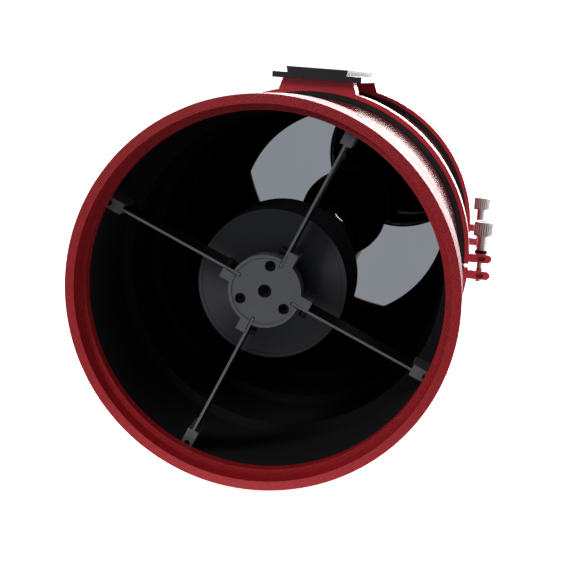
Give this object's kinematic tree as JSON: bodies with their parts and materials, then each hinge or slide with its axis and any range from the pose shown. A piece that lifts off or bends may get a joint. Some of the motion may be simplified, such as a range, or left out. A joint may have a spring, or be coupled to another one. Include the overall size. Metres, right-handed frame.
{
  "type": "reflector telescope tube assembly",
  "caption": "Red two-mirror reflector tube with a spider-held secondary, hinged clamp rings on a black dovetail bar, and a friction focuser at the rear.",
  "frame": {"origin": "centre of the dovetail bar's upper face", "axes": "+Z out of the bar's face, +Y along the optical axis from the open front end towards the focuser, +X towards the clamp screws"},
  "size_m": [0.2731, 0.592, 0.2627],
  "materials": {
    "ring_red": "wrinkle enamel, burgundy red",
    "tube_red": "gloss enamel, red",
    "cradle_red": "satin powder coat, red",
    "screw_red": "enamelled screws",
    "matt_black": "matt black paint",
    "black_anodised": "black anodised",
    "shield_grey": "dark grey anodised, turned",
    "hub_grey": "grey satin paint",
    "vane_steel": "thin ground steel sheet",
    "block_grey": "grey anodised",
    "black_steel": "blackened steel screws",
    "bright_steel": "stainless steel",
    "nickel": "bright nickel plated, knurled",
    "mirror_glass": "aluminised glass",
    "felt": "black wool felt",
    "bar_black": "black anodised, extruded",
    "alu_clear": "clear anodised, turned",
    "brass_plain": "plain brass",
    "rubber_black": "black rubber"
  },
  "bodies": {
    "saddle": {"cradle_front_upper": "cradle_red", "cradle_rear_upper": "cradle_red", "felt_front_upper": "felt", "felt_rear_upper": "felt", "hinge_pins": "bright_steel", "clamp_washers": "black_steel", "dovetail_bar": "bar_black", "bar_bolts": "black_steel"},
    "optical_tube": {"front_ring": "ring_red", "tube": "tube_red", "light_stops": "matt_black", "rear_ring": "ring_red", "back_plate": "black_anodised", "rear_ring_screws": "black_steel", "mirror_cell": "black_anodised", "primary_mirror": "mirror_glass", "mirror_retainer": "matt_black", "mirror_rest": "rubber_black", "baffle_collar": "matt_black", "primary_baffle": "matt_black", "pull_screws": "bright_steel", "push_screws": "black_steel", "spider_hub": "hub_grey", "spider_vanes": "vane_steel", "vane_blocks": "block_grey", "vane_end_screws": "screw_red", "vane_block_screws": "black_steel", "hub_screws": "black_steel", "centre_bolt": "black_steel", "adjust_screws": "black_steel", "secondary_carrier": "black_anodised", "secondary_shield": "shield_grey", "secondary_mirror": "mirror_glass", "focuser_base": "black_anodised", "focuser_body": "black_anodised"},
    "front_clamp": {"cradle_front_lower": "cradle_red", "felt_front_lower": "felt"},
    "rear_clamp": {"cradle_rear_lower": "cradle_red", "felt_rear_lower": "felt"},
    "front_screw": {"clamp_screw_front": "nickel"},
    "rear_screw": {"clamp_screw_rear": "nickel"},
    "drawtube": {"drawtube": "alu_clear", "drawtube_clamp_ring": "brass_plain"},
    "left_eyepiece_screw": {"eyepiece_screw_left": "nickel"},
    "right_eyepiece_screw": {"eyepiece_screw_right": "nickel"},
    "lock_screw": {"focus_lock_screw": "nickel"},
    "tension_screw": {"focus_tension_screw": "nickel"},
    "focus_wheels": {"focus_shaft": "bright_steel", "coarse_wheels": "black_anodised"},
    "fine_wheel": {"fine_wheel": "alu_clear"}
  },
  "joints": [
    {"name": "tube_turn", "type": "hinge", "parent": "saddle", "child": "optical_tube", "pos_m": [0, -0.0945, -0.1356], "axis": [0, 1, 0], "range_deg": [-180, 180]},
    {"name": "front_clamp_open", "type": "hinge", "parent": "saddle", "child": "front_clamp", "pos_m": [-0.12895, -0.0975, -0.1346], "axis": [0, 1, 0], "range_deg": [0, 100]},
    {"name": "rear_clamp_open", "type": "hinge", "parent": "saddle", "child": "rear_clamp", "pos_m": [-0.12895, 0.0895, -0.1346], "axis": [0, 1, 0], "range_deg": [0, 100]},
    {"name": "front_screw_turn", "type": "hinge", "parent": "saddle", "child": "front_screw", "pos_m": [0.13015, -0.0865, -0.1356], "axis": [0, 0, 1], "continuous": true},
    {"name": "rear_screw_turn", "type": "hinge", "parent": "saddle", "child": "rear_screw", "pos_m": [0.13015, 0.1005, -0.1356], "axis": [0, 0, 1], "continuous": true},
    {"name": "focus_travel", "type": "slide", "parent": "optical_tube", "child": "drawtube", "axis": [0, 1, 0], "range_m": [0, 0.03]},
    {"name": "focus_turn", "type": "hinge", "parent": "optical_tube", "child": "focus_wheels", "pos_m": [0, 0.2555, -0.1652], "axis": [-1, 0, 0], "range_deg": [-5, 864]},
    {"name": "fine_turn", "type": "hinge", "parent": "optical_tube", "child": "fine_wheel", "pos_m": [0, 0.2555, -0.1652], "axis": [-1, 0, 0], "range_deg": [-50, 8644]},
    {"name": "left_eyepiece_turn", "type": "hinge", "parent": "drawtube", "child": "left_eyepiece_screw", "pos_m": [0, 0.2905, -0.1356], "axis": [-0.8192, 0, 0.5736], "continuous": true},
    {"name": "right_eyepiece_turn", "type": "hinge", "parent": "drawtube", "child": "right_eyepiece_screw", "pos_m": [0, 0.2905, -0.1356], "axis": [0.8192, 0, 0.5736], "continuous": true},
    {"name": "lock_turn", "type": "hinge", "parent": "optical_tube", "child": "lock_screw", "pos_m": [0, 0.2415, -0.1356], "axis": [0, 0, 1], "continuous": true},
    {"name": "tension_turn", "type": "hinge", "parent": "optical_tube", "child": "tension_screw", "pos_m": [0, 0.2415, -0.1356], "axis": [0, 0, -1], "continuous": true}
  ],
  "couplings": [
    {"joint": "focus_turn", "follows": "focus_travel", "rad_per_m": 500},
    {"joint": "fine_turn", "follows": "focus_travel", "rad_per_m": 5000}
  ]
}
